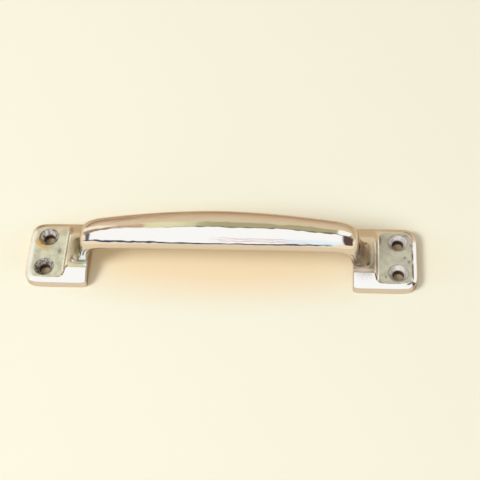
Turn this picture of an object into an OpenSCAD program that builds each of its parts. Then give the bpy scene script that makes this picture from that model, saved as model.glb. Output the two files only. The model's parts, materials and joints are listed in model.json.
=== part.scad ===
// Cast bar handle: an arched, swelling oval grip on two flared necks, each standing on a foot
// with two countersunk screw holes. One casting, +X along the grip, +Z away from the mounting face,
// origin on that face midway between the feet.

/* [Overall] */
// Length over both feet
length = 140.5; // [120:0.5:220]
// Width of the feet, front to back
foot_w = 25.4; // [22:0.2:36]

/* [Grip] */
// Width of the grip at mid-length
grip_w = 15; // [11:0.2:20]
// Thickness of the grip at mid-length
grip_t = 10.8; // [8:0.2:15]
// Width of the grip where the bends begin
grip_end_w = 11.9; // [9:0.1:15]
// Thickness of the grip where the bends begin
grip_end_t = 8.5; // [6:0.1:11]
// Height of the grip's centre line at mid-length
grip_h = 19.2; // [17:0.2:40]
// Drop of the centre line from mid-length to the bends
grip_drop = 2.6; // [0:0.1:4]
// Curve of the taper, where 2 is a plain arc and less is straighter towards the bends
grip_taper = 1.6; // [1.2:0.1:2.4]

/* [Bends and necks] */
// Radius of the hollow between the grip and each neck
bend_r = 6.6; // [4:0.1:8]
// Lean of the neck's inner face from upright, in degrees
neck_lean = 14; // [6:1:32]
// Width of the neck at its root
neck_w = 10; // [8.6:0.1:12]
// Squareness of the neck's inner side at its root, where 2 is an oval
inner_squareness = 8; // [2:0.5:10]
// Squareness of the neck's outer side at its root, where 2 is an oval
outer_squareness = 3; // [2:0.5:4]
// Reach of the nose past the foot's inner edge
nose_reach = 1.8; // [0.5:0.1:2.5]
// Drop of the nose's tip below the centre line of the grip's end
nose_drop = 1.6; // [0:0.1:3]
// Reach of the neck's outward flare at its root, past the nose
flare_out = 5.2; // [2:0.1:5.6]

/* [Feet] */
// Length of each foot
foot_l = 22.75; // [20.5:0.25:34]
// Height of the foot's upright side
side_h = 3; // [1.5:0.1:3.4]
// Height of the flat pad round the screw holes
pad_h = 3.75; // [3.4:0.05:4.8]
// Width of the sloping margin round the pad
bevel_w = 1.8; // [1:0.1:2.4]
// Radius of the foot's two outer corners
corner_r = 4.8; // [3.6:0.1:8]
// Radius of the foot's two inner corners
inner_corner_r = 1.8; // [0.6:0.1:3]
// Height of the shoulder that carries the neck
shoulder_h = 5.2; // [4.9:0.1:7]
// Length of the shoulder's top
shoulder_l = 8; // [7.4:0.1:9]
// Run of the slope from the shoulder down to the pad
step_run = 1; // [0.5:0.1:1.6]
// Radius of the pad's two inner corners
pad_corner_r = 2.6; // [1:0.1:5]

/* [Screw holes] */
// Distance of the holes from the foot's outer end
hole_inset = 6.75; // [6:0.05:8]
// Distance between the two holes of a foot
hole_pitch = 12.7; // [9:0.1:14.4]
// Diameter of the through hole
hole_d = 3.6; // [2.5:0.1:5]
// Diameter of the countersink at the pad
sink_d = 7; // [5.5:0.1:8]
// Included angle of the countersink, in degrees
sink_angle = 82; // [75:1:110]

/* [Hidden] */
$fn = 64;

// Amount by which a cutter passes the face that it cuts
overcut = 0.4;
// Depth to which the neck's root is let into the shoulder
root_depth = 1;
// Height below the shoulder's top at which the neck's inner face meets the foot's inner face
root_drop = 0.5;
// Turn of the flare at the shoulder, in degrees, where 90 would lie flat on it
flare_turn = 74;
// Fullness of the curve over the nose, along the grip and down the tip
nose_fullness = [0.5, 0.55];

// Steps of the loft: along half the grip, over the nose, down the flare and round a section
grip_steps = 16;
nose_steps = 9;
flare_steps = 10;
ring_steps = 48;
// Share of the nose and flare steps that the inner line spends in the hollow
hollow_share = 2 / 3;

foot_x0 = length / 2 - foot_l;
foot_x1 = length / 2;
bevel_slope = (pad_h - side_h) / bevel_w;
shoulder_x1 = foot_x0 + shoulder_l;
pad_x0 = shoulder_x1 + step_run;
sink_spread = tan(sink_angle / 2);
sink_depth = (sink_d - hole_d) / 2 / sink_spread;

// Centre of the hollow between grip and neck, placed so that the neck's leaning inner face runs
// down to the foot's inner edge
grip_end_h = grip_h - grip_drop;
bend_h = grip_end_h - grip_end_t / 2 - bend_r;
lean_start_h = bend_h + bend_r * sin(neck_lean);
lean_run = (lean_start_h - shoulder_h + root_drop) * tan(neck_lean);
bend_x = foot_x0 - lean_run - bend_r * cos(neck_lean);

// Outer line of the nose and neck: a curve over the nose that leaves along the grip's own slope,
// then a hollow part of an ellipse down to the shoulder
nose_x = foot_x0 + nose_reach;
nose_h = grip_end_h - nose_drop;
nose_top = grip_end_h + grip_end_t / 2;
nose_slope = (2 * grip_drop + grip_taper * (grip_t - grip_end_t) / 2) / bend_x;
nose_pull = [nose_fullness.x * (nose_x - bend_x), nose_fullness.y * (nose_top - nose_h)];
nose_curve = [
    [bend_x, nose_top],
    [bend_x + nose_pull.x, nose_top - nose_pull.x * nose_slope],
    [nose_x, nose_h + nose_pull.y],
    [nose_x, nose_h]
];
flare_depth = (nose_h - shoulder_h) / sin(flare_turn);

function mix(a, b, t) = a + (b - a) * t;

function bezier(p, t) =
    pow(1 - t, 3) * p[0] + 3 * pow(1 - t, 2) * t * p[1] + 3 * (1 - t) * t * t * p[2] + pow(t, 3) * p[3];

// A station holds a section's inner and outer point in the XZ plane, its half width, and the squareness
// of its inner and of its outer side
function grip_station(x) =
    let (
        taper = pow(x / bend_x, grip_taper),
        z = grip_h - grip_drop * pow(x / bend_x, 2),
        half_t = mix(grip_t, grip_end_t, taper) / 2
    )
    [[x, z - half_t], [x, z + half_t], mix(grip_w, grip_end_w, taper) / 2, [2, 2]];

// Point on the inner line, round the hollow first and then down the leaning face
function inner_point(step) =
    let (
        t = step / (nose_steps + flare_steps),
        angle = mix(90, neck_lean, min(t / hollow_share, 1)),
        arc = [bend_x + bend_r * cos(angle), bend_h + bend_r * sin(angle)],
        drop = max(t - hollow_share, 0) / (1 - hollow_share) * (lean_start_h - shoulder_h)
    )
    arc + drop * [tan(neck_lean), -1];

// Half width and squareness, from the oval where the bend begins to the squarer root
function neck_half_w(step) =
    mix(grip_end_w, neck_w, step / (nose_steps + flare_steps)) / 2;

function neck_squareness(step) =
    let (t = pow(step / (nose_steps + flare_steps), 2))
    [mix(2, inner_squareness, t), mix(2, outer_squareness, t)];

function nose_station(i) =
    [inner_point(i), bezier(nose_curve, i / nose_steps), neck_half_w(i), neck_squareness(i)];

function flare_station(i) =
    let (
        t = i / flare_steps,
        spread = (1 - cos(flare_turn * t)) / (1 - cos(flare_turn)),
        outer = [nose_x + flare_out * spread, nose_h - flare_depth * sin(flare_turn * t)]
    )
    [inner_point(nose_steps + i), outer, neck_half_w(nose_steps + i), neck_squareness(nose_steps + i)];

function root_station(last) =
    [last[0] + root_depth * [tan(neck_lean), -1], last[1] - [0, root_depth], last[2], last[3]];

// Stations from mid-length out along one half of the bow
function half_stations() =
    let (flare = [for (i = [1:flare_steps]) flare_station(i)])
    concat(
        [for (i = [0:grip_steps]) grip_station(bend_x * i / grip_steps)],
        [for (i = [1:nose_steps]) nose_station(i)],
        flare,
        [root_station(flare[flare_steps - 1])]
    );

function rounded(c, squareness) = sign(c) * pow(abs(c), 2 / squareness);

// Points of one section, an oval between its inner and outer point
function ring(station, side) =
    let (
        centre = (station[0] + station[1]) / 2,
        reach = (station[1] - station[0]) / 2
    )
    [
        for (k = [0:ring_steps - 1])
            let (
                a = 360 * k / ring_steps,
                squareness = cos(a) < 0 ? station[3][0] : station[3][1],
                p = centre + reach * rounded(cos(a), squareness)
            )
            [side * p.x, station[2] * rounded(sin(a), squareness), p.y]
    ];

// Grip and both necks as one skin over sections that follow the bow
module bow() {
    half = half_stations();
    count = len(half);
    rings = concat(
        [for (i = [count - 1:-1:1]) ring(half[i], -1)],
        [for (i = [0:count - 1]) ring(half[i], 1)]
    );
    last = len(rings) - 1;
    skin = [
        for (i = [0:last - 1], k = [0:ring_steps - 1])
            let (
                n = (k + 1) % ring_steps,
                a = i * ring_steps + k,
                b = i * ring_steps + n,
                c = (i + 1) * ring_steps + n,
                d = (i + 1) * ring_steps + k
            )
            each [[a, b, c], [a, c, d]]
    ];
    first_cap = [for (k = [ring_steps - 1:-1:0]) k];
    last_cap = [for (k = [0:ring_steps - 1]) last * ring_steps + k];
    polyhedron([for (r = rings) each r], concat(skin, [first_cap, last_cap]));
}

module foot_outline() {
    inner_y = foot_w / 2 - inner_corner_r;
    outer_y = foot_w / 2 - corner_r;
    translate([foot_x0 + inner_corner_r, -foot_w / 2])
        square([foot_l - inner_corner_r - corner_r, foot_w]);
    translate([foot_x0, -inner_y])
        square([foot_l / 2, 2 * inner_y]);
    translate([foot_x0 + foot_l / 2, -outer_y])
        square([foot_l / 2, 2 * outer_y]);
    for (y = [-1, 1]) {
        translate([foot_x0 + inner_corner_r, y * inner_y])
            circle(inner_corner_r);
        translate([foot_x1 - corner_r, y * outer_y])
            circle(corner_r);
    }
}

// Section of what is cut away over the sloping margin of an edge, with height along y
module margin_section(edge, top) {
    polygon([
        [edge + overcut, side_h - overcut * bevel_slope],
        [edge + overcut, top],
        [edge - (top - side_h) / bevel_slope, top]
    ]);
}

// The margin slopes up to the shoulder's top along the front and back, and to the pad round the end
module margin_cutters() {
    for (side = [0, 1]) mirror([0, side, 0]) {
        translate([foot_x0 - overcut, 0, 0])
            rotate([90, 0, 90])
                linear_extrude(foot_l - corner_r + overcut)
                    margin_section(foot_w / 2, shoulder_h + overcut);
        translate([foot_x1 - corner_r, foot_w / 2 - corner_r, 0])
            rotate_extrude(angle = 90)
                margin_section(corner_r, pad_h + overcut);
    }
    translate([0, foot_w / 2 - corner_r, 0])
        rotate([90, 0, 0])
            linear_extrude(foot_w - 2 * corner_r)
                margin_section(foot_x1, pad_h + overcut);
}

// Space over the pad, up to the sloping end of the shoulder and round its corners
module pad_cutter() {
    top = shoulder_h + overcut;
    lead = (top - pad_h) * step_run / (shoulder_h - pad_h);
    end_x = foot_x1 + overcut;
    corner_x = pad_x0 + pad_corner_r;
    corner_y = foot_w / 2 - bevel_w - pad_corner_r;
    translate([0, corner_y, 0])
        rotate([90, 0, 0])
            linear_extrude(2 * corner_y)
                polygon([[pad_x0 - lead, top], [pad_x0, pad_h], [end_x, pad_h], [end_x, top]]);
    translate([corner_x, -foot_w / 2 - overcut, pad_h])
        cube([end_x - corner_x, foot_w + 2 * overcut, top - pad_h]);
    for (side = [0, 1]) mirror([0, side, 0])
        translate([corner_x, corner_y, 0])
            rotate([0, 0, 90])
                rotate_extrude(angle = 90)
                    polygon([[0, pad_h], [pad_corner_r, pad_h], [pad_corner_r + lead, top], [0, top]]);
}

module screw_hole() {
    translate([0, 0, -overcut])
        cylinder(h = pad_h + 2 * overcut, d = hole_d);
    translate([0, 0, pad_h - sink_depth])
        cylinder(h = sink_depth + overcut, d1 = hole_d, d2 = sink_d + 2 * overcut * sink_spread);
}

module foot() {
    difference() {
        linear_extrude(shoulder_h)
            foot_outline();
        pad_cutter();
        margin_cutters();
        for (y = [-1, 1])
            translate([foot_x1 - hole_inset, y * hole_pitch / 2, 0])
                screw_hole();
    }
}

module handle() {
    color([0.78, 0.78, 0.76]) {
        bow();
        foot();
        mirror([1, 0, 0])
            foot();
    }
}

handle();
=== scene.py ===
import json
from collections import namedtuple
from math import atan2, cos, pi, radians, sin, tan

import bmesh
import bpy
from mathutils import Matrix, Vector


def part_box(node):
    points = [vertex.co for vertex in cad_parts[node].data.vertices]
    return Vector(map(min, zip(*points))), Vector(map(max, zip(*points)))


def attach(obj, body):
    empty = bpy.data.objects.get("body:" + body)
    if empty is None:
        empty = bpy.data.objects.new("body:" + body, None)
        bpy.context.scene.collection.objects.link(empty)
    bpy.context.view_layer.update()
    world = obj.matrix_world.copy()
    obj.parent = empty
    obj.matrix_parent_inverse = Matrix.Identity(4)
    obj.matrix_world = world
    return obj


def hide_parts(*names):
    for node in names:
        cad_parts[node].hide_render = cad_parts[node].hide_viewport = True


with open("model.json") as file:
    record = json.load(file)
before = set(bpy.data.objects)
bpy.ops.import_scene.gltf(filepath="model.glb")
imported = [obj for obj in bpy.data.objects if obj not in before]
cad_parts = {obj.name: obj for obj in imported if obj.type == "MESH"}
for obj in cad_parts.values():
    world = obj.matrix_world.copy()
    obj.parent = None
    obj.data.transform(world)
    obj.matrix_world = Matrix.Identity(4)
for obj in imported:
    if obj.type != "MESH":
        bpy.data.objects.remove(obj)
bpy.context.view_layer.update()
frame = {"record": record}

# Lengths are in metres, written in millimetres
mm = 0.001

# Sizes of the casting that the frame gives
SCREW_HOLES = next(m for m in frame["record"]["mounts"] if m["name"] == "screw_holes")["dims"]
HOLE_X = SCREW_HOLES["spacing_x_mm"] / 2 * mm
HOLE_Y = SCREW_HOLES["spacing_y_mm"] / 2 * mm
BORE_R = SCREW_HOLES["hole_r_mm"] * mm
FOOT_END, FOOT_SIDE, GRIP_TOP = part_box("handle")[1]

# Grip: oval at mid-length and where the bends begin
GRIP_W = 15.0 * mm
GRIP_T = 10.8 * mm
GRIP_END_W = 11.9 * mm
GRIP_END_T = 8.5 * mm
GRIP_DROP = 2.6 * mm
GRIP_TAPER = 1.6
GRIP_H = GRIP_TOP - GRIP_T / 2

# Feet
FOOT_L = 22.75 * mm
SIDE_H = 3.0 * mm
PAD_H = 3.75 * mm
SHOULDER_H = 5.2 * mm
MARGIN_W = 1.8 * mm
SHOULDER_L = 8.0 * mm
STEP_RUN = 1.0 * mm
CORNER_R = 4.8 * mm
SINK_R = 3.5 * mm
SINK_ANGLE = radians(82)

FOOT_INNER = FOOT_END - FOOT_L
SHOULDER_END = FOOT_INNER + SHOULDER_L
PAD_INNER = SHOULDER_END + STEP_RUN
PAD_END = FOOT_END - MARGIN_W
PAD_SIDE = FOOT_SIDE - MARGIN_W
CROWN_SIDE = FOOT_SIDE - (SHOULDER_H - SIDE_H) * MARGIN_W / (PAD_H - SIDE_H)
SINK_DEPTH = (SINK_R - BORE_R) / tan(SINK_ANGLE / 2)

# Bends, noses and necks
BEND_R = 6.6 * mm
NECK_LEAN = radians(14)
NECK_W = 10.0 * mm
OVAL_SQUARENESS = 2
INNER_SQUARENESS = 8.0
OUTER_SQUARENESS = 3.0
ROOT_DROP = 0.5 * mm
NOSE_REACH = 1.8 * mm
NOSE_DROP = 1.6 * mm
NOSE_FULLNESS = (0.5, 0.55)
FLARE_OUT = 5.2 * mm
FLARE_TURN = radians(74)

GRIP_END_H = GRIP_H - GRIP_DROP
BEND_H = GRIP_END_H - GRIP_END_T / 2 - BEND_R
LEAN_START_H = BEND_H + BEND_R * sin(NECK_LEAN)
BEND_X = (
    FOOT_INNER
    - (LEAN_START_H - SHOULDER_H + ROOT_DROP) * tan(NECK_LEAN)
    - BEND_R * cos(NECK_LEAN)
)
NOSE_X = FOOT_INNER + NOSE_REACH
NOSE_H = GRIP_END_H - NOSE_DROP
NOSE_TOP = GRIP_END_H + GRIP_END_T / 2
NOSE_SLOPE = (2 * GRIP_DROP + GRIP_TAPER * (GRIP_T - GRIP_END_T) / 2) / BEND_X
FLARE_DEPTH = (NOSE_H - SHOULDER_H) / sin(FLARE_TURN)

# Control cage: points round a section of the bow, and round a screw hole
RING = 16
HOLE_RING = 14
GRIP_SECTIONS = 6
NOSE_SECTIONS = 6
FLARE_SECTIONS = 5
# Share of the inner line that lies under the nose, and share that runs round the hollow
NOSE_SHARE = 0.47
HOLLOW_SHARE = 2 / 3
SMOOTHING = 3
# Firmness of the cage's edges, from 0 for soft to 1 for sharp
SOLE_FIRMNESS = 0.55
SIDE_FIRMNESS = 0.5
CROWN_FIRMNESS = 0.4
PAD_FIRMNESS = 0.5
STEP_FIRMNESS = 0.28
HOLE_FIRMNESS = 0.5
PAD_CORNER_SWELL = 1.24
# Reach round a hole's axis, in countersink radii, that holds its rings and nothing else
HOLE_CLEAR = 1.2
NEAR = 0.02 * mm
CUT_TOLERANCE = NEAR / 100
# Limits, in metres, that leave an axis open when a part of the cage is picked
ANYWHERE = (-1, 1)


def swell(points):
    """Growth of a ring of control points that leaves the smoothed ring at its true size."""
    return 3 / (2 + cos(2 * pi / points))


def mix(a, b, share):
    return a + (b - a) * share


# Selecting and moving in edit mode

def deselect_everything():
    if bpy.context.object and bpy.context.object.mode == "EDIT":
        bpy.ops.object.mode_set(mode="OBJECT")
    bpy.ops.object.select_all(action="DESELECT")


def start_piece(name):
    """Makes an empty mesh at the origin and opens it in edit mode."""
    deselect_everything()
    bpy.ops.mesh.primitive_plane_add()
    piece = bpy.context.object
    piece.name = name
    bpy.ops.object.mode_set(mode="EDIT")
    bpy.ops.mesh.select_all(action="SELECT")
    bpy.ops.mesh.delete(type="VERT")
    return piece


def pick(kind, test):
    """Selects the verts, edges or faces of the mesh in edit mode that pass the test."""
    mesh = bmesh.from_edit_mesh(bpy.context.edit_object.data)
    bpy.ops.mesh.select_all(action="DESELECT")
    bpy.context.tool_settings.mesh_select_mode = tuple(kind == k for k in ("verts", "edges", "faces"))
    for item in list(getattr(mesh, kind)):
        if test(item):
            item.select_set(True)
    bmesh.update_edit_mesh(bpy.context.edit_object.data)


def middle(item):
    return sum((v.co for v in item.verts), Vector()) / len(item.verts)


def within(point, x=ANYWHERE, y=ANYWHERE, z=ANYWHERE):
    return all(low - NEAR < p < high + NEAR for p, (low, high) in zip(point, (x, y, z)))


def pick_verts(**limits):
    pick("verts", lambda v: within(v.co, **limits))


def pick_faces(**limits):
    pick("faces", lambda f: within(middle(f), **limits))


def pick_edges(**limits):
    """Selects the edges that lie with both ends inside the limits."""
    pick("edges", lambda e: all(within(v.co, **limits) for v in e.verts))


def move(x=0.0, y=0.0, z=0.0):
    bpy.ops.transform.translate(value=(x, y, z))


def cut_across(axis, places):
    """Cuts the whole mesh in edit mode across an axis at each place."""
    for place in places:
        normal = Vector((axis == "x", axis == "y", axis == "z"))
        bpy.ops.mesh.select_all(action="SELECT")
        bpy.ops.mesh.bisect(plane_co=normal * place, plane_no=normal, threshold=CUT_TOLERANCE)


def sharpen(amount):
    bpy.ops.transform.edge_crease(value=amount)


def apply_modifier(piece, kind, **settings):
    modifier = piece.modifiers.new(kind.title(), kind)
    for name, value in settings.items():
        setattr(modifier, name, value)
    bpy.context.view_layer.objects.active = piece
    bpy.ops.object.modifier_apply(modifier=modifier.name)


# Bow: sections of the grip, the nose and the neck, each between an inner and an outer point
Section = namedtuple("Section", "inner outer half_w inner_squareness outer_squareness")


def grip_section(share):
    taper = share**GRIP_TAPER
    height = GRIP_H - GRIP_DROP * share**2
    half_t = mix(GRIP_T, GRIP_END_T, taper) / 2
    x = BEND_X * share
    half_w = mix(GRIP_W, GRIP_END_W, taper) / 2
    inner = Vector((x, 0, height - half_t))
    outer = Vector((x, 0, height + half_t))
    return Section(inner, outer, half_w, OVAL_SQUARENESS, OVAL_SQUARENESS)


def inner_point(share):
    """Point on the inner line, round the hollow first and then down the neck's leaning face."""
    angle = mix(pi / 2, NECK_LEAN, min(share / HOLLOW_SHARE, 1))
    drop = max(share - HOLLOW_SHARE, 0) / (1 - HOLLOW_SHARE) * (LEAN_START_H - SHOULDER_H)
    x = BEND_X + BEND_R * cos(angle) + drop * tan(NECK_LEAN)
    return Vector((x, 0, BEND_H + BEND_R * sin(angle) - drop))


def neck_section(share, outer):
    """Section at a share of the way from the grip's end, an oval, to the squarer root."""
    half_w = mix(GRIP_END_W, NECK_W, share) / 2
    squarer = share**2
    inner_squareness = mix(OVAL_SQUARENESS, INNER_SQUARENESS, squarer)
    outer_squareness = mix(OVAL_SQUARENESS, OUTER_SQUARENESS, squarer)
    return Section(inner_point(share), outer, half_w, inner_squareness, outer_squareness)


def nose_section(share):
    pull_x = NOSE_FULLNESS[0] * (NOSE_X - BEND_X)
    pull_z = NOSE_FULLNESS[1] * (NOSE_TOP - NOSE_H)
    points = [
        Vector((BEND_X, 0, NOSE_TOP)),
        Vector((BEND_X + pull_x, 0, NOSE_TOP - pull_x * NOSE_SLOPE)),
        Vector((NOSE_X, 0, NOSE_H + pull_z)),
        Vector((NOSE_X, 0, NOSE_H)),
    ]
    rest = 1 - share
    weights = (rest**3, 3 * rest**2 * share, 3 * rest * share**2, share**3)
    outer = sum((w * p for w, p in zip(weights, points)), Vector())
    return neck_section(NOSE_SHARE * share, outer)


def flare_section(share):
    spread = (1 - cos(FLARE_TURN * share)) / (1 - cos(FLARE_TURN))
    outer = Vector((NOSE_X + FLARE_OUT * spread, 0, NOSE_H - FLARE_DEPTH * sin(FLARE_TURN * share)))
    return neck_section(mix(NOSE_SHARE, 1, share), outer)


def square_up(section):
    """Draws out the diagonals of a circle of radius 1, until each half is as square as asked."""
    for step in range(1, RING // 2):
        angle = 2 * pi * step / RING
        x, y = cos(angle), sin(angle)
        squareness = section.inner_squareness if x < 0 else section.outer_squareness
        power = OVAL_SQUARENESS / squareness - 1
        pick("verts", lambda v: abs(v.co.x - x) < NEAR and abs(abs(v.co.y) - y) < NEAR)
        if abs(x) > NEAR:
            bpy.ops.transform.resize(value=(abs(x) ** power, y**power, 1), center_override=(0, 0, 0))
    pick("verts", lambda v: v.co.length > 1 - NEAR)


def add_ring(section):
    """Adds one section of the cage: a circle, squared, drawn out, tilted and set in place."""
    reach = (section.outer - section.inner) / 2
    growth = mix(1, swell(RING), OVAL_SQUARENESS / section.inner_squareness)
    bpy.ops.mesh.primitive_circle_add(vertices=RING, radius=1)
    square_up(section)
    size = (reach.length * growth, section.half_w * growth, 1)
    bpy.ops.transform.resize(value=size, center_override=(0, 0, 0))
    bpy.ops.transform.rotate(value=atan2(reach.z, reach.x), orient_axis="Y", center_override=(0, 0, 0))
    bpy.ops.transform.translate(value=(section.inner + section.outer) / 2)


def quarter_bow():
    """The back half of the bow from mid-length to the root of one neck, as an open skin."""
    sections = [grip_section(i / GRIP_SECTIONS) for i in range(GRIP_SECTIONS + 1)]
    sections += [nose_section(i / NOSE_SECTIONS) for i in range(1, NOSE_SECTIONS + 1)]
    sections += [flare_section(i / FLARE_SECTIONS) for i in range(1, FLARE_SECTIONS + 1)]
    bow = start_piece("bow")
    for section in sections:
        add_ring(section)
    bpy.ops.mesh.select_all(action="SELECT")
    bpy.ops.mesh.bridge_edge_loops()
    bpy.ops.mesh.select_all(action="SELECT")
    middle_plane = {"plane_co": (0, 0, 0), "plane_no": (0, 1, 0)}
    bpy.ops.mesh.bisect(**middle_plane, clear_inner=True, threshold=CUT_TOLERANCE)
    bpy.ops.object.mode_set(mode="OBJECT")
    return bow


def quarter_foot():
    """The back half of one foot as an open skin: a plate in a grid, raised to pad and shoulder."""
    foot = start_piece("foot")
    bpy.ops.mesh.primitive_plane_add(size=1)
    bpy.ops.transform.resize(value=(FOOT_L, FOOT_SIDE, 1), center_override=(0, 0, 0))
    move(x=FOOT_INNER + FOOT_L / 2, y=FOOT_SIDE / 2)
    thirds = (1 / 3, 2 / 3)
    shoulder_middle = (FOOT_INNER + SHOULDER_END) / 2
    cut_across("x", [shoulder_middle, SHOULDER_END, PAD_INNER, PAD_END])
    cut_across("x", [mix(PAD_INNER, PAD_END, t) for t in thirds])
    cut_across("y", [NECK_W / 4, NECK_W / 2, CROWN_SIDE, PAD_SIDE])
    bpy.ops.mesh.select_all(action="SELECT")
    bpy.ops.mesh.extrude_region_move(TRANSFORM_OT_translate={"value": (0, 0, SIDE_H)})
    pick_faces(y=(0, 0))
    bpy.ops.mesh.delete(type="FACE")
    top = (SIDE_H, SHOULDER_H)

    # Pad and crown, then the shoulder, let down where the neck's inner face runs into the foot's
    pick_verts(x=(FOOT_INNER, PAD_END), y=(0, PAD_SIDE), z=top)
    move(z=PAD_H - SIDE_H)
    pick_verts(x=(FOOT_INNER, SHOULDER_END), y=(0, CROWN_SIDE), z=top)
    move(z=SHOULDER_H - PAD_H)
    pick_verts(x=(FOOT_INNER, FOOT_INNER), y=(0, NECK_W / 4), z=top)
    move(z=-ROOT_DROP)
    crown = (SHOULDER_H - ROOT_DROP, SHOULDER_H)
    pick_faces(x=(FOOT_INNER, SHOULDER_END), y=(0, CROWN_SIDE), z=crown)
    bpy.ops.mesh.delete(type="FACE")
    sharpen_foot()
    round_corner()
    sink_hole()
    bpy.ops.object.mode_set(mode="OBJECT")
    return foot


def sharpen_foot():
    """Firms up the edges of the foot: round its sole, round its upright side, and round the pad."""
    for height, firmness in ((0, SOLE_FIRMNESS), (SIDE_H, SIDE_FIRMNESS)):
        pick_edges(y=(FOOT_SIDE, FOOT_SIDE), z=(height, height))
        sharpen(firmness)
        pick_edges(x=(FOOT_END, FOOT_END), z=(height, height))
        sharpen(firmness)
    pick_edges(x=(FOOT_INNER, FOOT_INNER), z=(0, 0))
    sharpen(SOLE_FIRMNESS)
    pick_edges(x=(FOOT_INNER, FOOT_INNER), y=(NECK_W / 2, FOOT_SIDE), z=(SIDE_H, SHOULDER_H))
    sharpen(SIDE_FIRMNESS)
    pick_edges(x=(FOOT_INNER, SHOULDER_END), y=(CROWN_SIDE, CROWN_SIDE), z=(SHOULDER_H, SHOULDER_H))
    sharpen(CROWN_FIRMNESS)
    pick_edges(x=(PAD_INNER, PAD_END), y=(PAD_SIDE, PAD_SIDE), z=(PAD_H, PAD_H))
    sharpen(PAD_FIRMNESS)
    step_and_end = (
        (SHOULDER_END, STEP_FIRMNESS),
        (PAD_INNER, STEP_FIRMNESS),
        (PAD_END, PAD_FIRMNESS),
    )
    for x, firmness in step_and_end:
        pick_edges(x=(x, x), y=(0, PAD_SIDE), z=(PAD_H, SHOULDER_H))
        sharpen(firmness)


def round_corner():
    """Draws the outer corner of the foot, and of the pad inside it, in to arcs about one centre."""
    centre = Vector((FOOT_END - CORNER_R, FOOT_SIDE - CORNER_R))
    outer = CORNER_R * swell(RING)
    pad = (CORNER_R - MARGIN_W) * PAD_CORNER_SWELL
    for x, y, angle, radius in (
        (PAD_END, PAD_SIDE, pi / 4, pad),
        (PAD_END, FOOT_SIDE, 3 * pi / 8, outer),
        (FOOT_END, FOOT_SIDE, pi / 4, outer),
        (FOOT_END, PAD_SIDE, pi / 8, outer),
    ):
        pick_verts(x=(x, x), y=(y, y))
        move(x=centre.x + radius * cos(angle) - x, y=centre.y + radius * sin(angle) - y)


def sink_hole():
    """Opens the pad and the sole and joins them by a countersunk hole, ring by ring."""
    block = {"x": (PAD_INNER, PAD_END), "y": (0, PAD_SIDE)}
    for height in (PAD_H, 0):
        pick_faces(**block, z=(height, height))
        bpy.ops.mesh.dissolve_faces()
        bpy.ops.mesh.delete(type="ONLY_FACE")
    growth = swell(HOLE_RING)
    clear = SINK_R * HOLE_CLEAR
    around = {"x": (HOLE_X - clear, HOLE_X + clear), "y": (HOLE_Y - clear, HOLE_Y + clear)}
    throat = PAD_H - SINK_DEPTH
    steps = (
        (SINK_R, PAD_H, block, PAD_H),
        (BORE_R, throat, around, PAD_H),
        (BORE_R, 0, around, throat),
    )
    for radius, height, limits, above in steps:
        place = (HOLE_X, HOLE_Y, height)
        bpy.ops.mesh.primitive_circle_add(vertices=HOLE_RING, radius=radius * growth, location=place)
        sharpen(HOLE_FIRMNESS)
        bridge_open_edges(**limits, z=(height, above))
    bridge_open_edges(**block, z=(0, 0))


def bridge_open_edges(**limits):
    """Joins two rows of edges that lie inside the limits and lack a face on one side or both."""
    pick("edges", lambda e: len(e.link_faces) < 2 and all(within(v.co, **limits) for v in e.verts))
    bpy.ops.mesh.bridge_edge_loops()


def make_handle():
    bow = quarter_bow()
    handle = quarter_foot()
    handle.name = "handle_casting"
    bow.select_set(True)
    handle.select_set(True)
    bpy.context.view_layer.objects.active = handle
    bpy.ops.object.join()
    bpy.ops.object.mode_set(mode="EDIT")
    bridge_open_edges(x=(0, SHOULDER_END), y=(0, PAD_SIDE), z=(PAD_H, SHOULDER_H + NEAR))
    bpy.ops.object.mode_set(mode="OBJECT")
    apply_modifier(handle, "MIRROR", use_axis=(True, True, False), merge_threshold=NEAR)
    bpy.ops.object.mode_set(mode="EDIT")
    bpy.ops.mesh.select_all(action="SELECT")
    bpy.ops.mesh.normals_make_consistent(inside=False)
    bpy.ops.object.mode_set(mode="OBJECT")
    apply_modifier(handle, "SUBSURF", levels=SMOOTHING, render_levels=SMOOTHING)
    bpy.ops.object.shade_smooth()
    return handle


# Materials: places on the casting are in millimetres from its origin

# Sockets of a mix node: its share, its two values, its two colours, and its two outputs
MIX_SHARE = 0
LOW_VALUE = 2
HIGH_VALUE = 3
LOW_COLOUR = 6
HIGH_COLOUR = 7
VALUE_OUT = 0
COLOUR_OUT = 2


def node(tree, kind, inputs=None, **settings):
    """Adds a shader node, sets its options, and links or sets its inputs."""
    made = tree.nodes.new(kind)
    for name, value in settings.items():
        setattr(made, name, value)
    for key, value in (inputs or {}).items():
        if isinstance(value, bpy.types.NodeSocket):
            tree.links.new(value, made.inputs[key])
        else:
            made.inputs[key].default_value = value
    return made


def maths(tree, operation, *values):
    return node(tree, "ShaderNodeMath", dict(enumerate(values)), operation=operation).outputs[0]


def vectors(tree, operation, *values):
    made = node(tree, "ShaderNodeVectorMath", dict(enumerate(values)), operation=operation)
    return made.outputs["Value" if operation in ("LENGTH", "DISTANCE", "DOT_PRODUCT") else "Vector"]


def fade(tree, value, start, end):
    """Runs smoothly from 0, where the value is at the start, to 1, where it is at the end."""
    inputs = {"Value": value, "From Min": start, "From Max": end}
    return node(tree, "ShaderNodeMapRange", inputs, interpolation_type="SMOOTHSTEP").outputs["Result"]


def noise(tree, place, scale, detail):
    inputs = {"Vector": place, "Scale": scale, "Detail": detail}
    return node(tree, "ShaderNodeTexNoise", inputs).outputs["Fac"]


def blend(tree, share, low, high):
    """Mixes two colours."""
    inputs = {MIX_SHARE: share, LOW_COLOUR: low, HIGH_COLOUR: high}
    return node(tree, "ShaderNodeMix", inputs, data_type="RGBA").outputs[COLOUR_OUT]


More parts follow.
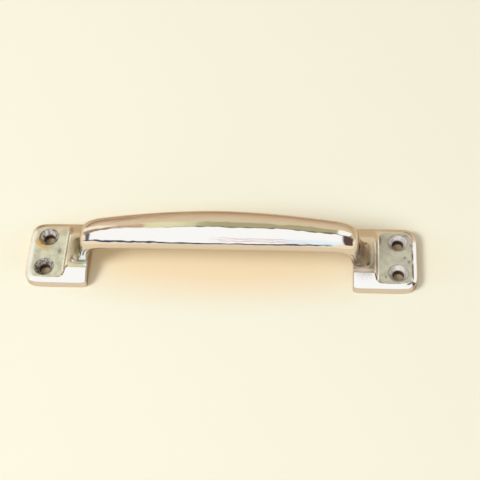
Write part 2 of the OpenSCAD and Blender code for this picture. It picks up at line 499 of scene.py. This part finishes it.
def blend_value(tree, share, low, high):
    inputs = {MIX_SHARE: share, LOW_VALUE: low, HIGH_VALUE: high}
    return node(tree, "ShaderNodeMix", inputs).outputs[VALUE_OUT]


def product(tree, *masks):
    """Masks and strengths, multiplied together."""
    whole = masks[0]
    for mask in masks[1:]:
        whole = maths(tree, "MULTIPLY", whole, mask)
    return whole


def from_line(tree, value, middle_value):
    return maths(tree, "ABSOLUTE", maths(tree, "SUBTRACT", value, middle_value))


# Blots: how ragged they are, plain and smooth, and their edge in sizes from the centre
BLOT_RAGGED = 1.4
BLOT_SMOOTH = 0.35
BLOT_EDGE = (1.4, 0.2)

# Rust hugs the front of one hole: the hole's place, and the reach of the rust round it
RUSTY_HOLE = (-HOLE_X / mm, HOLE_Y / mm, PAD_H / mm)
RUST_REACH = (6.0, 4.3)
# Rust, stains, smudges and tarnish, with painted shade and a painted dark reflection among them: centre
# and size of each blot
RUST_BLOTS = (((-67.2, 3.0, 3.7), (3.0, 3.2, 2.0)), ((-64.5, 1.6, 3.7), (2.4, 1.6, 2.0)))
STAIN_BLOTS = (((-60.0, 9.0, 3.7), (2.4, 1.3, 2.0)),)
TARNISH_AND_DARK_REFLECTION_BLOTS = (
    ((-52.6, 0.8, 7.6), (4.0, 6.4, 6.4)),
    ((-50.5, -5.2, 5.4), (3.6, 0.9, 0.8)),
    ((52.0, -2.0, 6.8), (5.4, 6.8, 6.8)),
    ((51.0, -5.3, 5.4), (4.6, 0.9, 0.8)),
    # The last blot, on the right neck's front, is a painted dark reflection
    ((48.4, -5.3, 8.6), (2.2, 1.4, 3.0)),
)
# Dull strip on the right shoulder, in front of the neck
DULL_BLOTS = (((50.8, -6.3, 5.2), (4.4, 0.9, 0.9)),)
# Plating worn pale along the outer end of the left foot and round its front corner
WORN_BLOTS = (((-69.1, 0.0, 3.6), (1.2, 13.0, 1.0)), ((-68.4, -9.6, 3.6), (1.8, 2.8, 1.0)))
# Painted highlight: paler chrome in the corner between the left neck and the grip, in place of a bright
# reflection
PAINTED_HIGHLIGHT_BLOTS = (((-48.2, -5.4, 9.4), (3.4, 1.6, 4.2)),)
SMUDGE_AND_SHADE_BLOTS = (
    ((-58.7, 0.3, 3.7), (0.8, 1.3, 2.0)),
    ((-55.6, -7.6, 4.2), (0.5, 0.9, 2.0)),
    # Along the right pad's inner edge at the foot of the step: painted shade
    ((57.2, 7.4, 3.7), (0.4, 2.2, 2.0)),
    ((59.1, -8.1, 3.7), (0.5, 0.7, 2.0)),
    ((65.9, 0.0, 3.7), (0.6, 0.6, 2.0)),
    ((67.3, -1.7, 3.7), (0.5, 0.8, 2.0)),
    ((68.0, 5.2, 3.7), (0.5, 0.7, 2.0)),
    ((66.0, 9.3, 3.7), (1.3, 0.5, 2.0)),
)

CHROME = (0.725, 0.715, 0.69, 1)
CHROME_EDGE = (0.70, 0.60, 0.50, 1)
PAINTED_HIGHLIGHT_TONE = (0.90, 0.98, 1.0, 1)
TARNISH_LEFT = (0.33, 0.31, 0.21, 1)
TARNISH_AND_DARK_REFLECTION_RIGHT = (0.22, 0.175, 0.12, 1)
DULL_CHROME = (0.75, 0.63, 0.50, 1)
WORN_CHROME = (0.84, 0.88, 0.80, 1)
PAD_LEFT = (0.71, 0.73, 0.57, 1)
PAD_RIGHT = (0.62, 0.62, 0.52, 1)
PAD_DARK = (0.38, 0.39, 0.32, 1)
SINK_DARK = (0.13, 0.10, 0.075, 1)
SINK_LIGHT = (0.86, 0.85, 0.83, 1)
BORE_TONE = (0.06, 0.038, 0.02, 1)
RUST = (0.66, 0.41, 0.10, 1)
SMUDGE_AND_SHADE_TONE = (0.12, 0.10, 0.08, 1)

# Dull pads: their rounded rim, how ragged it is, its edge, and the height at which they begin
PAD_ROUND = 2.6
PAD_RAGGED = 0.7
PAD_RIM = (2.95, 2.1)
PAD_LEVEL = (2.6, 3.5)
# Dark seam between the right pad and the polished margin at its end: dirt, and painted shade and dark
# reflection at the pad's edge
SEAM_REACH = 2.75
SEAM_EDGE = (0.42, 0.12)
SEAM_END = (65.5, 67.0)
SEAM_BREAKS = (0.25, 0.6)
# Change from the left foot's tones to the right foot's
RIGHT_SIDE = (-40, 40)
# Mottling of the pads
MOTTLE_RANGE = (0.35, 0.7)
MOTTLE_SHARE = 0.55
# Countersinks: their rim and the bore's, the flecks on the left and on the right, and grime at the rim
SINK_EDGE = (SINK_R / mm + 0.25, SINK_R / mm - 0.15)
BORE_EDGE = (BORE_R / mm + 0.5, BORE_R / mm + 0.1)
FLECKS_LEFT = (0.33, 0.69)
FLECKS_RIGHT = (-0.3, 0.74)
GRIME_EDGE = (0.45, 0.05)
# Scale and detail of each uneven pattern, and the value about which it varies
BLOT_NOISE = (0.9, 4.0)
PAD_NOISE = (0.8, 4.0)
SEAM_NOISE = (0.5, 4.0)
MOTTLE_NOISE = (0.45, 5.0)
FLECK_NOISE = (0.9, 5.0)
GRIME_NOISE = (0.6, 4.0)
STREAK_NOISE = (1.0, 4.0)
WAVE_NOISE = (1.0, 2.0)
GRAIN_NOISE = (1.6, 5.0)
NOISE_MIDDLE = 0.5
# Strength of the marks
RUST_STRENGTH = 0.9
STAIN_STRENGTH = 0.35
SMUDGE_AND_SHADE_STRENGTH = 0.65
TARNISH_AND_REFLECTION_STRENGTH = 0.9
# How metallic and how rough each finish is
METAL_BRIGHT = 1.0
METAL_MATT = 0.35
METAL_SINK = 0.7
METAL_DIRT_AND_SHADE = 0.1
ROUGH_BRIGHT = 0.035
ROUGH_STREAK = 0.11
ROUGH_TARNISH_AND_REFLECTION = 0.34
ROUGH_MATT = 0.5
ROUGH_SINK = 0.36
ROUGH_BORE = 0.7
ROUGH_RUST = 0.8
# Polishing streaks and the wave in the plating, drawn out along the grip; the wave is calm on the feet
STREAK_STRETCH = (0.06, 1.6, 1.6)
STREAK_RANGE = (0.5, 0.75)
WAVE_STRETCH = (0.09, 0.24, 0.24)
WAVE_DEPTH = 0.19 * mm
CALM_START = (43, 49)
CALM_WAVE = 0.35
GRAIN_DEPTH = 0.12 * mm
# Keeps x and y and drops the height
IN_PLAN = (1, 1, 0)


def blot_group():
    """Mask of one ragged blot: 1 inside its size round its centre, 0 outside."""
    tree = bpy.data.node_groups.new("blot", "ShaderNodeTree")
    inputs = {"Place": "Vector", "Centre": "Vector", "Size": "Vector", "Ragged": "Float"}
    for name, kind in inputs.items():
        tree.interface.new_socket(name, in_out="INPUT", socket_type="NodeSocket" + kind)
    tree.interface.new_socket("Mask", in_out="OUTPUT", socket_type="NodeSocketFloat")
    given = node(tree, "NodeGroupInput").outputs
    offset = vectors(tree, "SUBTRACT", given["Place"], given["Centre"])
    offset = vectors(tree, "DIVIDE", offset, given["Size"])
    uneven = maths(tree, "SUBTRACT", noise(tree, given["Place"], *BLOT_NOISE), NOISE_MIDDLE)
    ragged = maths(tree, "MULTIPLY", uneven, given["Ragged"])
    reach = maths(tree, "ADD", vectors(tree, "LENGTH", offset), ragged)
    node(tree, "NodeGroupOutput", {"Mask": fade(tree, reach, *BLOT_EDGE)})
    return tree


def blot_mask(tree, blots, place, spots, ragged=BLOT_RAGGED):
    """1 on any of the blots given by their centres and sizes."""
    mask = 0.0
    for centre, size in spots:
        blot = node(tree, "ShaderNodeGroup", node_tree=blots)
        tree.links.new(place, blot.inputs["Place"])
        blot.inputs["Centre"].default_value = centre
        blot.inputs["Size"].default_value = size
        blot.inputs["Ragged"].default_value = ragged
        mask = maths(tree, "MAXIMUM", blot.outputs["Mask"], mask)
    return mask


def pad_reach(tree, folded):
    """Distance from the core of a foot's pad, which is the pad less its rounded rim."""
    flat = vectors(tree, "MULTIPLY", folded, IN_PLAN)
    centre = ((PAD_INNER + PAD_END) / 2 / mm, 0, 0)
    core = ((PAD_END - PAD_INNER) / 2 / mm - PAD_ROUND, PAD_SIDE / mm - PAD_ROUND, 0)
    offset = vectors(tree, "ABSOLUTE", vectors(tree, "SUBTRACT", flat, centre))
    outside = vectors(tree, "SUBTRACT", offset, core)
    return vectors(tree, "LENGTH", vectors(tree, "MAXIMUM", outside, (0, 0, 0)))


def pad_mask(tree, reach, place):
    """1 on the dull pads of both feet, with a ragged rim and rounded corners."""
    ragged = maths(tree, "MULTIPLY", noise(tree, place, *PAD_NOISE), PAD_RAGGED)
    rim = fade(tree, maths(tree, "ADD", reach, ragged), *PAD_RIM)
    height = node(tree, "ShaderNodeSeparateXYZ", {0: place}).outputs["Z"]
    return maths(tree, "MULTIPLY", rim, fade(tree, height, *PAD_LEVEL))


def chrome_material():
    """Worn chrome plate: bright, wavy metal, dull pads, grimy countersinks, rust and smudges, with a
    painted highlight, a painted dark reflection and painted shade.
    """
    material = bpy.data.materials.new("aged_chrome")
    material.use_nodes = True
    tree = material.node_tree
    place = node(tree, "ShaderNodeVectorMath", {"Scale": 1 / mm}, operation="SCALE")
    tree.links.new(node(tree, "ShaderNodeTexCoord").outputs["Object"], place.inputs[0])
    place = place.outputs[0]
    folded = vectors(tree, "ABSOLUTE", place)
    along = node(tree, "ShaderNodeSeparateXYZ", {0: place}).outputs["X"]
    right_side = fade(tree, along, *RIGHT_SIDE)

    # Pads: pale on one foot, greyer on the other, mottled
    reach = pad_reach(tree, folded)
    pad = pad_mask(tree, reach, place)
    # Dark seam at the right pad's end: dirt, and painted shade at the pad's edge
    seam_dirt_and_shade = fade(tree, from_line(tree, reach, SEAM_REACH), *SEAM_EDGE)
    breaks = fade(tree, noise(tree, place, *SEAM_NOISE), *SEAM_BREAKS)
    seam_dirt_and_shade = product(tree, seam_dirt_and_shade, fade(tree, along, *SEAM_END), breaks)
    mottle = fade(tree, noise(tree, place, *MOTTLE_NOISE), *MOTTLE_RANGE)
    pad_tone = blend(tree, right_side, PAD_LEFT, PAD_RIGHT)
    pad_tone = blend(tree, product(tree, mottle, MOTTLE_SHARE), pad_tone, PAD_DARK)

    # Countersinks: grime and bright flecks, darker towards the throat
    plan = vectors(tree, "MULTIPLY", folded, IN_PLAN)
    from_axis = vectors(tree, "DISTANCE", plan, (HOLE_X / mm, HOLE_Y / mm, 0))
    sink = fade(tree, from_axis, *SINK_EDGE)
    bore = fade(tree, from_axis, *BORE_EDGE)
    fleck_range = [blend_value(tree, right_side, *ends) for ends in zip(FLECKS_LEFT, FLECKS_RIGHT)]
    flecks = fade(tree, noise(tree, place, *FLECK_NOISE), *fleck_range)
    sink_tone = blend(tree, flecks, SINK_DARK, SINK_LIGHT)
    sink_tone = blend(tree, bore, sink_tone, BORE_TONE)
    rim = fade(tree, from_line(tree, from_axis, SINK_R / mm), *GRIME_EDGE)
    rim_grime = product(tree, rim, noise(tree, place, *GRIME_NOISE))

    # Rust, stains, smudges with painted shade among them, tarnish in the hollows of the necks, and a
    # painted dark reflection on the right neck's front
    blots = blot_group()
    round_hole = fade(tree, vectors(tree, "DISTANCE", place, RUSTY_HOLE), *RUST_REACH)
    rust = product(tree, blot_mask(tree, blots, place, RUST_BLOTS), round_hole, RUST_STRENGTH)
    stain = product(tree, blot_mask(tree, blots, place, STAIN_BLOTS), STAIN_STRENGTH)
    rust = maths(tree, "MAXIMUM", rust, stain)
    # Smudges, with painted shade along the right pad's inner edge
    smudges_and_shade = product(tree, blot_mask(tree, blots, place, SMUDGE_AND_SHADE_BLOTS), SMUDGE_AND_SHADE_STRENGTH)
    smudges_and_shade = maths(tree, "MAXIMUM", smudges_and_shade, maths(tree, "MAXIMUM", rim_grime, seam_dirt_and_shade))
    # Tarnish, and a painted dark reflection on the right neck's front
    tarnish_and_dark_reflection = blot_mask(tree, blots, place, TARNISH_AND_DARK_REFLECTION_BLOTS, BLOT_SMOOTH)
    tarnish_and_dark_reflection = product(tree, tarnish_and_dark_reflection, TARNISH_AND_REFLECTION_STRENGTH)

    # Colour, from the plating up to the dirt and painted shade on it, with a painted highlight and a
    # painted dark reflection
    tarnish_and_reflection_tone = blend(tree, right_side, TARNISH_LEFT, TARNISH_AND_DARK_REFLECTION_RIGHT)
    # Painted highlight: paler chrome on the left neck's front
    painted_highlight = blot_mask(tree, blots, place, PAINTED_HIGHLIGHT_BLOTS, BLOT_SMOOTH)
    tone = blend(tree, painted_highlight, CHROME, PAINTED_HIGHLIGHT_TONE)
    tone = blend(tree, tarnish_and_dark_reflection, tone, tarnish_and_reflection_tone)
    dull_strip = blot_mask(tree, blots, place, DULL_BLOTS, BLOT_SMOOTH)
    tone = blend(tree, dull_strip, tone, DULL_CHROME)
    worn = blot_mask(tree, blots, place, WORN_BLOTS, BLOT_SMOOTH)
    tone = blend(tree, worn, tone, WORN_CHROME)
    tone = blend(tree, pad, tone, pad_tone)
    tone = blend(tree, sink, tone, sink_tone)
    tone = blend(tree, rust, tone, RUST)
    tone = blend(tree, smudges_and_shade, tone, SMUDGE_AND_SHADE_TONE)

    # Metal: bright plating, less so where it is dull, and hardly at all under dirt and painted shade
    matt = maths(tree, "MAXIMUM", pad, maths(tree, "MAXIMUM", dull_strip, worn))
    metal = blend_value(tree, matt, METAL_BRIGHT, METAL_MATT)
    metal = blend_value(tree, sink, metal, METAL_SINK)
    metal = blend_value(tree, bore, metal, METAL_DIRT_AND_SHADE)
    metal = blend_value(tree, maths(tree, "MAXIMUM", rust, smudges_and_shade), metal, METAL_DIRT_AND_SHADE)

    # Polish: fine streaks along the grip on the bright metal, matt where it is dull
    streaks = noise(tree, vectors(tree, "MULTIPLY", place, STREAK_STRETCH), *STREAK_NOISE)
    rough = blend_value(tree, fade(tree, streaks, *STREAK_RANGE), ROUGH_BRIGHT, ROUGH_STREAK)
    rough = blend_value(tree, tarnish_and_dark_reflection, rough, ROUGH_TARNISH_AND_REFLECTION)
    rough = blend_value(tree, matt, rough, ROUGH_MATT)
    rough = blend_value(tree, sink, rough, ROUGH_SINK)
    rough = blend_value(tree, bore, rough, ROUGH_BORE)
    rough = blend_value(tree, rust, rough, ROUGH_RUST)

    # Surface: a faint wave in the polished metal, and grain where it is dull
    wave = noise(tree, vectors(tree, "MULTIPLY", place, WAVE_STRETCH), *WAVE_NOISE)
    on_foot = fade(tree, maths(tree, "ABSOLUTE", along), *CALM_START)
    wave = product(tree, wave, blend_value(tree, on_foot, 1.0, CALM_WAVE))
    wave_bump = node(tree, "ShaderNodeBump", {"Height": wave, "Distance": WAVE_DEPTH})
    grain = product(tree, noise(tree, place, *GRAIN_NOISE), maths(tree, "MAXIMUM", pad, sink))
    grain_bump = node(tree, "ShaderNodeBump", {"Height": grain, "Distance": GRAIN_DEPTH})
    tree.links.new(wave_bump.outputs[0], grain_bump.inputs["Normal"])

    surface = tree.nodes["Principled BSDF"]
    surface.inputs["Specular Tint"].default_value = CHROME_EDGE
    tree.links.new(tone, surface.inputs["Base Color"])
    tree.links.new(metal, surface.inputs["Metallic"])
    tree.links.new(rough, surface.inputs["Roughness"])
    tree.links.new(grain_bump.outputs[0], surface.inputs["Normal"])
    return material


# Stage: floor, studio, lamp and camera

# Floor: pale, with a painted warm shade close under the grip, in an oval of this middle and size
FLOOR_PALE = (0.955, 0.95, 0.80, 1)
FLOOR_WARM_SHADE = (0.94, 0.79, 0.545, 1)
WARM_MIDDLE = (0.0, 0.002, 0.0)
WARM_SIZE = (0.10, 0.026, 1.0)
WARM_EDGE = (0.25, 1.0)
# Shade under the screw holes: stretch across and along the foot, and its edge
FLOOR_UNDER = (0.58, 0.44, 0.28, 1)
UNDER_SHAPE = (2.0, 1.0, 0.0)
UNDER_EDGE = (11.0 * mm, 9.0 * mm)
# Painted reflection: the floor's colour for the metal alone, warmer and brighter than the floor, and tan
# far behind the handle
PAINTED_FLOOR_REFLECTION = (1.0, 0.84, 0.61, 1)
PAINTED_REFLECTION_BEHIND = (0.62, 0.44, 0.28, 1)
BEHIND_START = (0.05, 0.09)
BEHIND_SIDE = (0.16, 0.12)
FLOOR_SIZE = 6.0
FLOOR_ROUGHNESS = 0.9
FLOOR_GLOSS = 0.1
# Level of the studio in the polished metal, on matt surfaces, and seen straight on as a backdrop
MIRROR_LEVEL = 1.30
LIGHT_LEVEL = 0.74
BACKDROP_LEVEL = 1.0
# Colours of the studio by turn: the angle from the front over the top to the back, in half turns
STUDIO_BANDS = (
    (0.000, (1.0, 1.0, 1.0)),
    (0.560, (1.0, 1.0, 1.0)),
    (0.578, (0.10, 0.09, 0.08)),
    (0.600, (0.43, 0.38, 0.22)),
    (0.695, (0.43, 0.38, 0.22)),
    (0.715, (0.69, 0.58, 0.40)),
    (0.800, (0.68, 0.54, 0.36)),
    (0.860, (0.65, 0.49, 0.32)),
    (0.940, (0.57, 0.405, 0.24)),
    (1.000, (0.48, 0.325, 0.19)),
)
# The same towards the left
STUDIO_LEFT_BANDS = (
    (0.000, (1.0, 1.0, 1.0)),
    (0.575, (1.0, 1.0, 1.0)),
    (0.600, (0.75, 0.68, 0.60)),
    (0.622, (0.46, 0.34, 0.24)),
    (0.660, (0.60, 0.42, 0.29)),
    (0.700, (0.74, 0.55, 0.39)),
    (0.780, (0.72, 0.55, 0.39)),
    (0.850, (0.58, 0.40, 0.27)),
    (0.910, (0.42, 0.28, 0.16)),
    (1.000, (0.40, 0.26, 0.15)),
)
LEFT_BAND = (-0.22, -0.36)
# Olive glow between the two: its ends across and its limits by turn
GLOW_TONE = (0.79, 0.74, 0.46, 1)
GLOW_RIGHT = (-0.10, -0.26)
GLOW_LEFT = (-0.37, -0.33)
GLOW_LOW = (0.575, 0.600)
GLOW_HIGH = (0.735, 0.700)
# Dim sides of the front, beside its bright panel, and how far back they reach
DIM_RIGHT = (0.11, 0.065, 0.06, 1)
DIM_LEFT = (0.13, 0.13, 0.17, 1)
PANEL_RIGHT = (0.50, 0.62)
PANEL_LEFT = (-0.76, -0.84)
PANEL_BACK = (0.36, 0.12)
# Bright walls behind on both sides, with a brown edge before the left one
WALL_LEFT = (0.95, 0.88, 0.70, 1)
LEFT_START = (-0.40, -0.47)
LEFT_FRONT = (0.38, 0.45)
LEFT_BACK = (0.66, 0.59)
BROWN_EDGE = (0.36, 0.23, 0.15, 1)
BROWN_MIDDLE = 0.28
BROWN_WIDTH = (0.11, 0.05)
WALL_RIGHT = (1.0, 0.98, 0.94, 1)
RIGHT_START = (0.36, 0.44)
RIGHT_FRONT = (0.20, 0.30)
RIGHT_BACK = (0.61, 0.55)
RIGHT_SLOPE = 1.1
RIGHT_FOOT = (0.88, 0.96)
# Pale ground in front, which rises towards both sides, and a dark line along it that ends on the right
GROUND_TONE = (0.92, 0.76, 0.55, 1)
GROUND_MIDDLE = -0.08
GROUND_SIDES = (0.12, 0.55)
GROUND_RISE = (0.005, 0.195)
GROUND_SOFT = 0.012
GROUND_LINE = (0.05, 0.06, 0.11, 1)
GROUND_LINE_TURN = 0.030
GROUND_LINE_EDGE = (0.046, 0.021)
GROUND_LINE_END = (0.32, 0.18)
# Thin reddish lines across the middle of the bright panel
LINE_TURNS = (0.150, 0.205, 0.260)
LINE_EDGE = (0.012, 0.004)
LINE_MIDDLE = 0.05
LINE_REACH = (0.20, 0.06)
LINE_TONE = (0.58, 0.33, 0.31, 1)
# Blue tint low in the panel on the right
BLUE_TONE = (0.84, 0.94, 1.0, 1)
BLUE_START = (0.10, 0.20)
BLUE_TOP = (0.36, 0.26)
STUDIO_SIDE = (0.94, 0.80, 0.58, 1)
SIDE_BAND = (0.90, 0.97)
LAMP_PLACE = Vector((-1.42, -0.82, 1.47))
LAMP_SIZE = 0.8
LAMP_POWER = 34.0
CAMERA_PLACE = Vector((38.11, -222.14, 351.15)) * mm
CAMERA_AIM = Vector((6.41, 8.91, 0.0)) * mm
CAMERA_ROLL = radians(5.54)
PHOTO_SIZE = 480
CAMERA_FOCUS = 1150.96
SENSOR_W = 36.0


def make_floor():
    deselect_everything()
    bpy.ops.mesh.primitive_plane_add(size=FLOOR_SIZE, location=(0, 0, -NEAR))
    floor = bpy.context.object
    floor.name = "floor"
    material = bpy.data.materials.new("pale_floor")
    material.use_nodes = True
    tree = material.node_tree
    place = node(tree, "ShaderNodeTexCoord").outputs["Object"]
    offset = vectors(tree, "SUBTRACT", place, WARM_MIDDLE)
    reach = vectors(tree, "LENGTH", vectors(tree, "DIVIDE", offset, WARM_SIZE))
    # Painted warm shade under the grip, then the shade under the screw holes
    seen = blend(tree, fade(tree, reach, *WARM_EDGE), FLOOR_WARM_SHADE, FLOOR_PALE)
    under = vectors(tree, "SUBTRACT", vectors(tree, "ABSOLUTE", place), (HOLE_X, 0, 0))
    under = vectors(tree, "LENGTH", vectors(tree, "MULTIPLY", under, UNDER_SHAPE))
    seen = blend(tree, fade(tree, under, *UNDER_EDGE), seen, FLOOR_UNDER)
    x, y, _ = node(tree, "ShaderNodeSeparateXYZ", {0: place}).outputs
    side = fade(tree, maths(tree, "ABSOLUTE", x), *BEHIND_SIDE)
    behind = maths(tree, "MULTIPLY", fade(tree, y, *BEHIND_START), side)
    # Painted reflection: what glossy rays see of the floor
    painted_reflection = blend(tree, behind, PAINTED_FLOOR_REFLECTION, PAINTED_REFLECTION_BEHIND)
    mirrored = node(tree, "ShaderNodeLightPath").outputs["Is Glossy Ray"]
    tone = blend(tree, mirrored, seen, painted_reflection)
    surface = tree.nodes["Principled BSDF"]
    tree.links.new(tone, surface.inputs["Base Color"])
    surface.inputs["Roughness"].default_value = FLOOR_ROUGHNESS
    surface.inputs["Specular IOR Level"].default_value = FLOOR_GLOSS
    floor.data.materials.append(material)


def color_bands(tree, value, bands):
    made = node(tree, "ShaderNodeValToRGB", {0: value})
    stops = made.color_ramp.elements
    for index, (place, color) in enumerate(bands):
        stop = stops[index] if index < len(stops) else stops.new(place)
        stop.position = place
        stop.color = (*color, 1)
    return made.outputs[0]


def make_studio():
    """Light from all round: bright in front and overhead, darker behind and low at the sides."""
    world = bpy.data.worlds.new("studio")
    bpy.context.scene.world = world
    world.use_nodes = True
    tree = world.node_tree
    direction = node(tree, "ShaderNodeTexCoord").outputs["Generated"]
    x, y, z = node(tree, "ShaderNodeSeparateXYZ", {0: direction}).outputs
    turn = maths(tree, "ARCTAN2", z, maths(tree, "MULTIPLY", y, -1.0))
    turn = maths(tree, "DIVIDE", turn, pi)

    # Bands from front to back, and the glow in them
    light = color_bands(tree, turn, STUDIO_BANDS)
    light = blend(tree, fade(tree, x, *LEFT_BAND), light, color_bands(tree, turn, STUDIO_LEFT_BANDS))
    glow = product(tree, fade(tree, x, *GLOW_RIGHT), fade(tree, x, *GLOW_LEFT))
    glow = product(tree, glow, fade(tree, turn, *GLOW_LOW), fade(tree, turn, *GLOW_HIGH))
    light = blend(tree, glow, light, GLOW_TONE)

    # Panel in front: a blue tint, reddish lines across it, and dim sides
    blue = product(tree, fade(tree, x, *BLUE_START), fade(tree, turn, *BLUE_TOP))
    light = blend(tree, blue, light, BLUE_TONE)
    line_reach = fade(tree, from_line(tree, x, LINE_MIDDLE), *LINE_REACH)
    for place in LINE_TURNS:
        line = fade(tree, from_line(tree, turn, place), *LINE_EDGE)
        light = blend(tree, product(tree, line, line_reach), light, LINE_TONE)
    front = fade(tree, y, *PANEL_BACK)
    light = blend(tree, product(tree, front, fade(tree, x, *PANEL_RIGHT)), light, DIM_RIGHT)
    light = blend(tree, product(tree, front, fade(tree, x, *PANEL_LEFT)), light, DIM_LEFT)

    # Walls behind
    left = fade(tree, x, *LEFT_START)
    brown = product(tree, left, fade(tree, from_line(tree, y, BROWN_MIDDLE), *BROWN_WIDTH))
    light = blend(tree, brown, light, BROWN_EDGE)
    wall = product(tree, left, fade(tree, y, *LEFT_FRONT), fade(tree, y, *LEFT_BACK))
    light = blend(tree, wall, light, WALL_LEFT)
    foot = fade(tree, maths(tree, "MULTIPLY_ADD", z, RIGHT_SLOPE, y), *RIGHT_FOOT)
    wall = product(tree, foot, fade(tree, x, *RIGHT_START), fade(tree, y, *RIGHT_FRONT))
    light = blend(tree, product(tree, wall, fade(tree, y, *RIGHT_BACK)), light, WALL_RIGHT)
    light = blend(tree, fade(tree, maths(tree, "ABSOLUTE", x), *SIDE_BAND), light, STUDIO_SIDE)

    # Ground in front and the line along it
    across = fade(tree, from_line(tree, x, GROUND_MIDDLE), *GROUND_SIDES)
    height = maths(tree, "SUBTRACT", turn, blend_value(tree, across, *GROUND_RISE))
    light = blend(tree, fade(tree, height, GROUND_SOFT, -GROUND_SOFT), light, GROUND_TONE)
    line = fade(tree, from_line(tree, height, GROUND_LINE_TURN), *GROUND_LINE_EDGE)
    light = blend(tree, product(tree, line, fade(tree, x, *GROUND_LINE_END)), light, GROUND_LINE)

    rays = node(tree, "ShaderNodeLightPath").outputs
    level = blend_value(tree, rays["Is Glossy Ray"], LIGHT_LEVEL, MIRROR_LEVEL)
    level = blend_value(tree, rays["Is Camera Ray"], level, BACKDROP_LEVEL)
    light = blend(tree, rays["Is Camera Ray"], light, FLOOR_PALE)
    background = tree.nodes["Background"]
    tree.links.new(light, background.inputs["Color"])
    tree.links.new(level, background.inputs["Strength"])


def make_lamp():
    data = bpy.data.lights.new("key_lamp", "AREA")
    data.size = LAMP_SIZE
    data.energy = LAMP_POWER
    lamp = bpy.data.objects.new("key_lamp", data)
    bpy.context.scene.collection.objects.link(lamp)
    turn = (-LAMP_PLACE).to_track_quat("-Z", "Y").to_matrix().to_4x4()
    lamp.matrix_world = Matrix.Translation(LAMP_PLACE) @ turn
    lamp.visible_glossy = False


def make_camera():
    data = bpy.data.cameras.new("camera")
    camera = bpy.data.objects.new("camera", data)
    bpy.context.scene.collection.objects.link(camera)
    data.sensor_width = SENSOR_W
    data.lens = CAMERA_FOCUS * SENSOR_W / PHOTO_SIZE
    turn = (CAMERA_AIM - CAMERA_PLACE).to_track_quat("-Z", "Y").to_matrix().to_4x4()
    camera.matrix_world = Matrix.Translation(CAMERA_PLACE) @ turn @ Matrix.Rotation(-CAMERA_ROLL, 4, "Z")
    bpy.context.scene.camera = camera


handle = make_handle()
handle.data.materials.append(chrome_material())
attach(handle, "root")
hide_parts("handle")
make_floor()
make_studio()
make_lamp()
make_camera()
bpy.context.scene.view_settings.view_transform = "Standard"
